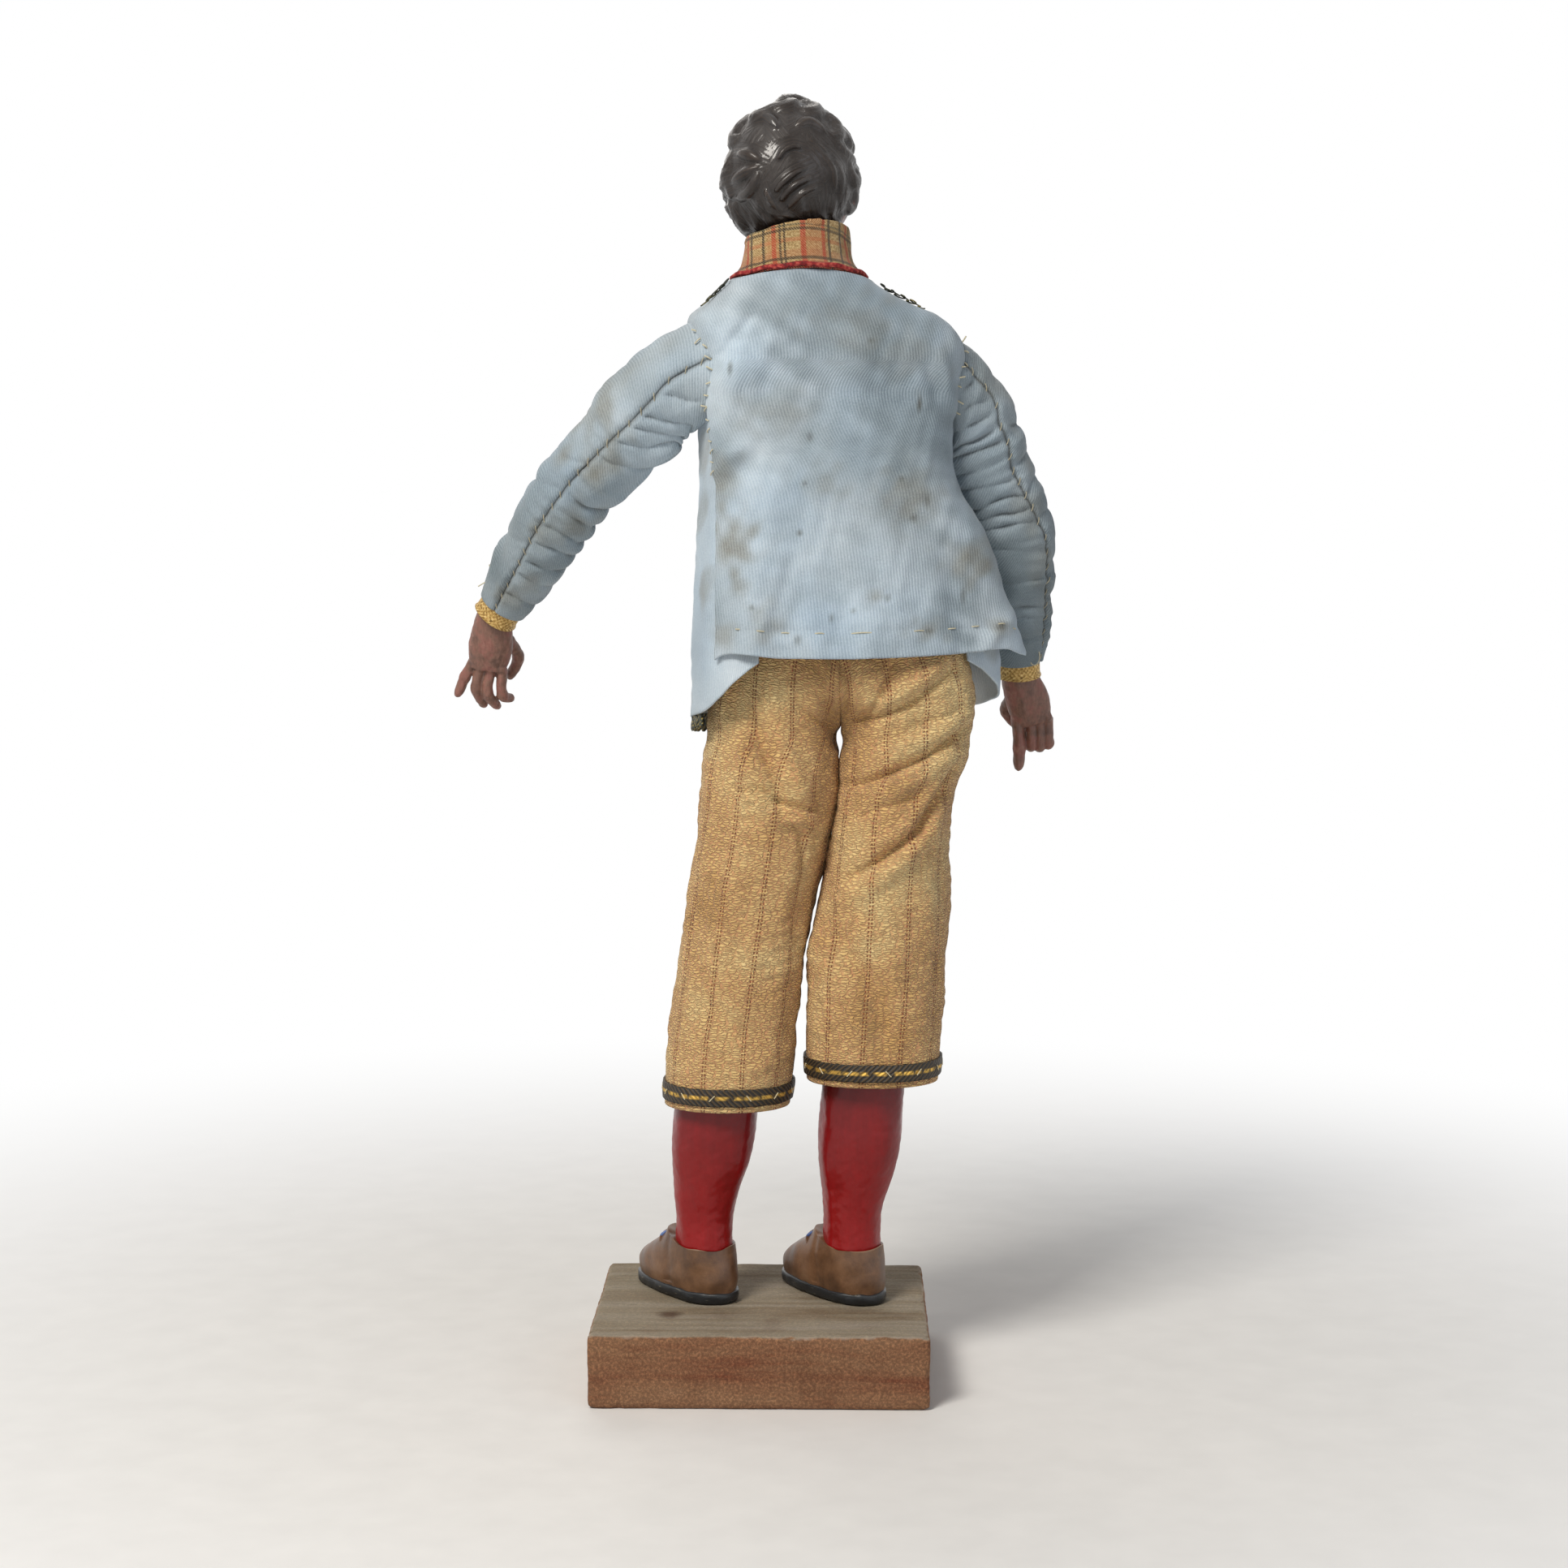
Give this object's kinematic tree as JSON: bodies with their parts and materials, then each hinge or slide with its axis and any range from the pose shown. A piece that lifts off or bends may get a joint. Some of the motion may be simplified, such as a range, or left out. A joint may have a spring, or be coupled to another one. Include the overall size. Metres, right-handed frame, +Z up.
{
  "type": "nativity figure",
  "caption": "Standing dressed crib figure on a wooden block, with a fired clay head, carved hands and legs, cloth clothes and a wire armature that bends.",
  "frame": {"origin": "centre of the underside of the wooden block", "axes": "+Z up, the figure faces -Y and its left hand is on +X"},
  "size_m": [0.1959, 0.0946, 0.4017],
  "materials": {
    "block_wood": "worn, bare",
    "carved_leg": "oil paint, satin",
    "carved_hand": "oil paint, satin",
    "iron_wire": "annealed, dark",
    "tow": "loose fibre",
    "twine": "spun hemp",
    "fired_clay": "painted and varnished",
    "eye_glass": "polished",
    "jacket_cloth": "fine ribbed cloth, stained",
    "breeches_cloth": "crinkled cloth with dotted stripes",
    "checked_cloth": "checked twill",
    "lace_braid": "metal thread lace",
    "knee_braid": "dark braid with gold thread",
    "gold_ribbon": "woven ribbon"
  },
  "bodies": {
    "stand": {"base_block": "block_wood", "left_foot_pin": "iron_wire", "right_foot_pin": "iron_wire", "left_leg": "carved_leg", "right_leg": "carved_leg", "left_leg_wire": "iron_wire", "right_leg_wire": "iron_wire", "left_thigh_tow": "tow", "right_thigh_tow": "tow", "pelvis_tow": "tow", "pelvis_wire": "iron_wire", "breeches": "breeches_cloth", "left_knee_braid": "knee_braid", "right_knee_braid": "knee_braid"},
    "torso": {"trunk_tow": "tow", "spine_wire": "iron_wire", "shoulder_wire": "iron_wire", "binding_twine": "twine", "head_and_bust": "fired_clay", "left_glass_eye": "eye_glass", "right_glass_eye": "eye_glass", "jacket_back": "jacket_cloth", "jacket_left_front": "jacket_cloth", "jacket_right_front": "jacket_cloth", "left_front_braid": "lace_braid", "right_front_braid": "lace_braid", "shirt_front": "checked_cloth", "neck_collar": "checked_cloth"},
    "left_upper_arm": {"left_upper_arm_wire": "iron_wire", "left_upper_arm_tow": "tow", "left_sleeve": "jacket_cloth"},
    "left_forearm": {"left_forearm_wire": "iron_wire", "left_forearm_tow": "tow", "left_hand": "carved_hand", "left_cuff": "gold_ribbon"},
    "right_upper_arm": {"right_upper_arm_wire": "iron_wire", "right_upper_arm_tow": "tow", "right_sleeve": "jacket_cloth"},
    "right_forearm": {"right_forearm_wire": "iron_wire", "right_forearm_tow": "tow", "right_hand": "carved_hand", "right_cuff": "gold_ribbon"}
  },
  "joints": [
    {"name": "waist_bend", "type": "hinge", "parent": "stand", "child": "torso", "pos_m": [-0.024, 0, 0.237], "axis": [0.9613, 0.2756, 0], "range_deg": [-5, 10]},
    {"name": "left_shoulder_raise", "type": "hinge", "parent": "torso", "child": "left_upper_arm", "pos_m": [0.01728, 0.00965, 0.323], "axis": [0.2756, -0.9613, 0], "range_deg": [-18, 40], "deforming": ["left_sleeve"]},
    {"name": "left_elbow_bend", "type": "hinge", "parent": "left_upper_arm", "child": "left_forearm", "pos_m": [0.059, -0.006, 0.281], "axis": [-0.844, -0.021, -0.536], "range_deg": [-10, 60], "deforming": ["left_sleeve"]},
    {"name": "right_shoulder_raise", "type": "hinge", "parent": "torso", "child": "right_upper_arm", "pos_m": [-0.05673, -0.01157, 0.321], "axis": [-0.2756, 0.9613, 0], "range_deg": [-3, 45], "deforming": ["right_sleeve"]},
    {"name": "right_elbow_bend", "type": "hinge", "parent": "right_upper_arm", "child": "right_forearm", "pos_m": [-0.08, -0.026, 0.27], "axis": [-0.9864, -0.1281, 0.103], "range_deg": [-10, 60], "deforming": ["right_sleeve"]}
  ]
}
